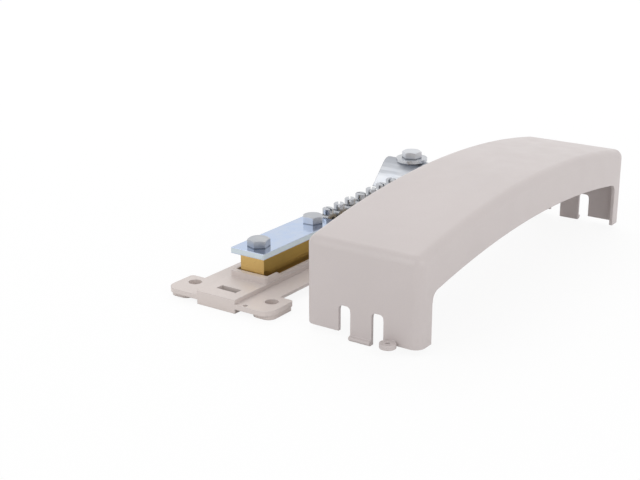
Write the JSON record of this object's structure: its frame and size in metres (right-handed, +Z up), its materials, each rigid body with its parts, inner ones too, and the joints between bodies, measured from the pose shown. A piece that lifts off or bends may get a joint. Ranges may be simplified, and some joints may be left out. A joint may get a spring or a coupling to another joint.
{
  "type": "power terminal strip",
  "caption": "Bonding terminal strip: a brass busbar on a plastic base with stirrup terminals, a strip clamp and a saddle clamp, its arched clip cover standing beside it.",
  "frame": {"origin": "centre of the mounting hole pattern, on the base's underside", "axes": "+X along the busbar from the strip clamp to the saddle, +Y away from the cover, +Z up from the wall or table"},
  "size_m": [0.2446, 0.1396, 0.0555],
  "materials": {
    "moulded_plastic": "fine grained, pale warm grey",
    "brass": "drawn, slightly dull",
    "zinc_plated_steel": "bright zinc plating with a bluish passivation"
  },
  "bodies": {
    "root": {"base": "moulded_plastic", "cover": "moulded_plastic", "busbar": "brass", "strip_clamp_plate": "zinc_plated_steel", "plate_bolt_front": "zinc_plated_steel", "plate_bolt_rear": "zinc_plated_steel", "terminal_clamp_1": "zinc_plated_steel", "terminal_clamp_2": "zinc_plated_steel", "terminal_clamp_3": "zinc_plated_steel", "terminal_clamp_4": "zinc_plated_steel", "terminal_clamp_5": "zinc_plated_steel", "terminal_clamp_6": "zinc_plated_steel", "terminal_clamp_7": "zinc_plated_steel", "terminal_screw_1": "zinc_plated_steel", "terminal_screw_2": "zinc_plated_steel", "terminal_screw_3": "zinc_plated_steel", "terminal_screw_4": "zinc_plated_steel", "terminal_screw_5": "zinc_plated_steel", "terminal_screw_6": "zinc_plated_steel", "terminal_screw_7": "zinc_plated_steel", "saddle_strap": "zinc_plated_steel", "saddle_washer": "zinc_plated_steel", "saddle_bolt": "zinc_plated_steel", "busbar_screw_front": "zinc_plated_steel", "busbar_screw_rear": "zinc_plated_steel"}
  },
  "joints": []
}
